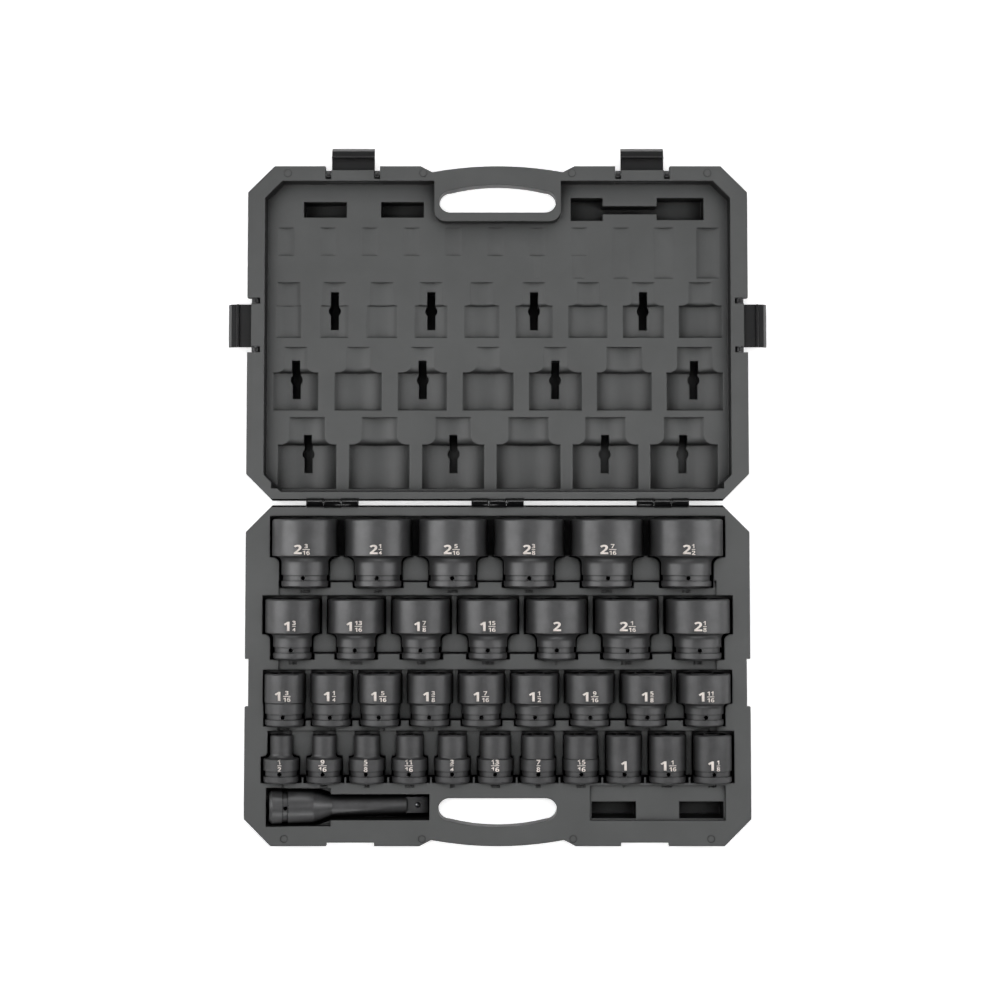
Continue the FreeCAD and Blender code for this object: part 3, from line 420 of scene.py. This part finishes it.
def stroke(width, height, place):
    """The line of a fraction as a flat strip with rounded ends."""
    bpy.ops.object.select_all(action="DESELECT")
    bpy.ops.mesh.primitive_plane_add(size=1.0, location=(0, 0, 0))
    item = bpy.context.object
    bpy.ops.object.mode_set(mode="EDIT")
    bpy.ops.mesh.select_all(action="SELECT")
    bpy.ops.transform.resize(value=(width, height, 1))
    bpy.ops.mesh.bevel(offset=0.45 * height, segments=2, affect="VERTICES")
    bpy.ops.transform.translate(value=place)
    bpy.ops.object.mode_set(mode="OBJECT")
    return item


def joined(items, name):
    """Joins flat pieces into one named piece."""
    bpy.ops.object.select_all(action="DESELECT")
    for item in items:
        item.select_set(True)
    bpy.context.view_layer.objects.active = items[0]
    if len(items) > 1:
        bpy.ops.object.join()
    piece = bpy.context.object
    piece.name = name
    piece.data.name = name
    return piece


def sliced(piece, step):
    """Cuts a flat piece into strips along X, so that it can follow a round surface."""
    only(piece)
    xs = [v.co.x for v in piece.data.vertices]
    count = int((max(xs) - min(xs)) / step)
    bpy.ops.object.mode_set(mode="EDIT")
    for i in range(1, count + 1):
        bpy.ops.mesh.select_all(action="SELECT")
        bpy.ops.mesh.bisect(plane_co=(min(xs) + i * step, 0, 0), plane_no=(1, 0, 0))
    bpy.ops.object.mode_set(mode="OBJECT")


def laid_on(piece, target, thick):
    """Drops a flat piece onto a CAD node and gives it its thickness."""
    only(piece)
    drop = piece.modifiers.new("drop", "SHRINKWRAP")
    drop.target = target
    drop.wrap_method = "PROJECT"
    drop.use_project_x = drop.use_project_y = False
    drop.use_project_z = True
    drop.use_negative_direction = True
    drop.use_positive_direction = False
    bpy.ops.object.modifier_apply(modifier="drop")
    body = piece.modifiers.new("body", "SOLIDIFY")
    body.thickness = 2 * thick
    body.offset = 0
    bpy.ops.object.modifier_apply(modifier="body")


def broadened(piece, breadth, middle):
    """Stretches a flat piece sideways about its middle."""
    only(piece)
    bpy.ops.object.mode_set(mode="EDIT")
    bpy.ops.mesh.select_all(action="SELECT")
    bpy.ops.transform.resize(value=(breadth, 1, 1), center_override=middle)
    bpy.ops.object.mode_set(mode="OBJECT")


def fraction(name, height, middle, bold):
    """The pieces of a size mark: a whole number, and a small fraction with a level line.

    All its measures are shares of the whole number's height, or of the small figures' own height.
    """
    x, y, z = middle
    whole, over, under = inches(name)
    items = []
    small = 0.45 * height if whole else 0.5 * height
    small_bold = 0.5 * bold
    apart = 0.06 * height + 0.68 * small
    wide = small * 0.72 * max(len(over), len(under), 1)
    line_wide, line_thick = wide * 1.05, 0.075 * height
    gap = 0.12 * height
    whole_wide = 0.62 * height if whole else 0
    total = whole_wide + (gap + wide if over and whole else wide if over else 0)
    left = x - total / 2
    if whole:
        items.append(lettering(whole, height, (left + whole_wide / 2, y, z), bold))
    if over:
        right = left + total - wide / 2
        items.append(lettering(over, small, (right, y + apart, z), small_bold))
        items.append(stroke(line_wide, line_thick, (right, y, z)))
        items.append(lettering(under, small, (right, y - apart, z), small_bold))
    return items


class SOCKETSET_OT_case(bpy.types.Operator):
    """Gives both halves of the case and the latches their moulded plastic"""
    bl_idname = "socketset.case"
    bl_label = "Case and Latches"

    def execute(self, context):
        look = settings("case_finish")
        low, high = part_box("hinge_pins")
        hinge = ((low[1] + high[1]) / 2, (low[2] + high[2]) / 2, look.barrel)
        # Both halves and the latches carry painted shade in gaps and inner corners; the lid carries more in its
        # recesses.
        for name, crevice_shade in (("tray", PLASTIC_CREVICE_SHADE), ("lid", LID_CREVICE_SHADE)):
            wear(name, moulded_plastic(f"blow_moulded_polyethylene_{name}", tuple(look.plastic), look.grain, look.edge,
                                       CASE_ROUGHNESS, crevice_shade, hinge))
        # The latches' tool is finer than the halves'.
        lever = moulded_plastic("injection_moulded_polypropylene", tuple(look.latch), look.grain * 0.5, LATCH_EDGE,
                                LATCH_ROUGHNESS, PLASTIC_CREVICE_SHADE)
        for name in LATCHES:
            wear(name, lever)
        return {"FINISHED"}


class SOCKETSET_OT_steel(bpy.types.Operator):
    """Gives the sockets and the bar their phosphate, and the pins, the ball and its spring bright steel"""
    bl_idname = "socketset.steel"
    bl_label = "Sockets, Bar and Pins"

    def execute(self, context):
        look = settings("steel_finish")
        black = phosphate_steel("black_phosphated_steel", tuple(look.phosphate), look.turning)
        for name in SOCKETS:
            wear(name, black)
        wear("extension_bar", phosphate_steel("oiled_phosphated_steel", tuple(look.bar), look.turning))
        bright = drawn_steel("drawn_steel", tuple(look.bright))
        for name in ("hinge_pins", "latch_pins", "detent_ball", "detent_spring"):
            wear(name, bright)
        return {"FINISHED"}


class SOCKETSET_OT_size_marks(bpy.types.Operator):
    """Prints each socket's size in inches on its upper side"""
    bl_idname = "socketset.size_marks"
    bl_label = "Size Marks"

    def execute(self, context):
        look = settings("size_marks")
        ink = pad_print("pad_printed_ink", tuple(look.paint))
        for name in SOCKETS:
            low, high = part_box(name)
            rise = next(rise for limit, rise in ROWS if low[1] > limit)
            middle = Vector(((low[0] + high[0]) / 2, low[1] + rise, high[2] + MARK_DROP))
            piece = joined(fraction(name, look.height, middle, SIZE_BOLD), "size_mark_" + name[7:])
            broadened(piece, look.breadth, middle)
            sliced(piece, MARK_STRIP)
            laid_on(piece, NODES[name], look.thick)
            piece.data.materials.clear()
            piece.data.materials.append(ink)
            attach(piece, name)
        return {"FINISHED"}


class SOCKETSET_OT_bed_marks(bpy.types.Operator):
    """Moulds each size in small raised figures in front of its bed"""
    bl_idname = "socketset.bed_marks"
    bl_label = "Bed Marks"

    def execute(self, context):
        look = settings("size_marks")
        shell = bpy.data.materials["blow_moulded_polyethylene_tray"]
        items = []
        for name in SOCKETS:
            low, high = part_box(name)
            whole, over, under = inches(name)
            words = "-".join(w for w in (whole, f"{over}/{under}" if over else "") if w)
            place = ((low[0] + high[0]) / 2, low[1] - BED_MARK_AHEAD, BED_MARK_DROP)
            items.append(lettering(words, look.bed_height, place, BED_BOLD))
        piece = joined(items, "bed_marks")
        laid_on(piece, NODES["tray"], BED_MARK_RELIEF)
        piece.data.materials.clear()
        piece.data.materials.append(shell)
        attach(piece, "tray")
        return {"FINISHED"}


class SOCKETSET_OT_stage(bpy.types.Operator):
    """Sets out the floor, the lamps, the room light and the camera"""
    bl_idname = "socketset.stage"
    bl_label = "Stage"

    def execute(self, context):
        look = settings("studio")
        scene = context.scene
        scene.view_settings.view_transform = "Standard"
        bpy.ops.object.select_all(action="DESELECT")
        bpy.ops.mesh.primitive_plane_add(size=FLOOR_SIZE, location=FLOOR_PLACE)
        floor = context.object
        floor.name = "floor"
        floor.data.materials.append(self.floor_paint(tuple(look.floor)))
        self.room_light(scene, look.ambient)
        for name, place, size, share, shines in LAMPS:
            bpy.ops.object.light_add(type="AREA", location=place)
            lamp = context.object
            lamp.name = name
            lamp.data.shape = "RECTANGLE"
            lamp.data.size, lamp.data.size_y = size
            lamp.data.energy = share * (look.side_power if shines else look.top_power)
            lamp.rotation_euler = (Vector(LAMP_TARGET) - Vector(place)).to_track_quat("-Z", "Y").to_euler()
            # The strips give the tools their two bright lines; the broad box alone lights the matt surfaces.
            lamp.visible_diffuse = not shines
            lamp.visible_glossy = shines
        self.camera(scene, look)
        return {"FINISHED"}

    def floor_paint(self, colour):
        """White paper floor: plain white to the eye and in reflections, with the object's soft shadow."""
        material, tree = new_material("white_paper")
        path = add_node(tree, "ShaderNodeLightPath", (-600, 300))
        seen = add_node(tree, "ShaderNodeMath", (-400, 300), operation="MAXIMUM",
                        links={0: path.outputs["Is Camera Ray"], 1: path.outputs["Is Glossy Ray"]})
        paper = add_node(tree, "ShaderNodeBsdfPrincipled", (-400, 0),
                         {"Base Color": colour, "Roughness": 0.9, "Specular IOR Level": 0.1})
        glow = add_node(tree, "ShaderNodeEmission", (-400, -400), {"Color": (1, 1, 1, 1), "Strength": PAPER_GLOW})
        both = add_node(tree, "ShaderNodeAddShader", (-100, -200), links={0: paper.outputs[0], 1: glow.outputs[0]})
        mixed = add_node(tree, "ShaderNodeMixShader", (300, 0),
                         links={"Fac": seen.outputs[0], 1: paper.outputs[0], 2: both.outputs[0]})
        finish_with(tree, mixed)
        return material

    def room_light(self, scene, strength):
        """White to the camera, a plain soft grey for everything else."""
        world = bpy.data.worlds.new("studio_room")
        world.use_nodes = True
        tree = world.node_tree
        tree.nodes.clear()
        path = add_node(tree, "ShaderNodeLightPath", (-600, 200))
        level = add_node(tree, "ShaderNodeMix", (-300, 200), {"A": strength, "B": 1.0},
                         {"Factor": path.outputs["Is Camera Ray"]}, data_type="FLOAT")
        sky = add_node(tree, "ShaderNodeBackground", (0, 0), {"Color": (1, 1, 1, 1)}, {"Strength": level.outputs[0]})
        add_node(tree, "ShaderNodeOutputWorld", (300, 0), links={"Surface": sky.outputs[0]})
        scene.world = world

    def camera(self, scene, look):
        """Almost straight down from above the lid, with a little shift to take in the tray."""
        back = Vector((0, -math.sin(look.tilt), math.cos(look.tilt)))
        bpy.ops.object.camera_add(location=Vector(CAMERA_TARGET) + look.distance * back, rotation=(look.tilt, 0, 0))
        eye = bpy.context.object
        eye.name = "photo_camera"
        eye.data.sensor_width = SENSOR_WIDTH
        eye.data.lens = look.focal
        eye.data.shift_y = CAMERA_SHIFT
        eye.data.clip_end = 50
        scene.camera = eye


class SOCKETSET_PT_panel(bpy.types.Panel):
    """Lists the steps that dress the set"""
    bl_idname = "SOCKETSET_PT_panel"
    bl_label = "Socket Set"
    bl_space_type = "VIEW_3D"
    bl_region_type = "UI"
    bl_category = "Socket Set"

    def draw(self, context):
        for step in STEPS:
            self.layout.operator(step.bl_idname)


GROUPS = {"case_finish": CaseFinish, "steel_finish": SteelFinish, "size_marks": SizeMarks, "studio": Studio}
STEPS = (SOCKETSET_OT_case, SOCKETSET_OT_steel, SOCKETSET_OT_size_marks, SOCKETSET_OT_bed_marks, SOCKETSET_OT_stage)


def register():
    for group in GROUPS.values():
        bpy.utils.register_class(group)
    for step in STEPS + (SOCKETSET_PT_panel,):
        bpy.utils.register_class(step)
    for name, group in GROUPS.items():
        setattr(bpy.types.Scene, name, bpy.props.PointerProperty(type=group))


def unregister():
    for name in GROUPS:
        delattr(bpy.types.Scene, name)
    for item in (SOCKETSET_PT_panel,) + STEPS[::-1] + tuple(GROUPS.values()):
        bpy.utils.unregister_class(item)


def main():
    register()
    bpy.ops.socketset.case()
    bpy.ops.socketset.steel()
    bpy.ops.socketset.size_marks()
    bpy.ops.socketset.bed_marks()
    bpy.ops.socketset.stage()


if __name__ == "__main__":
    main()
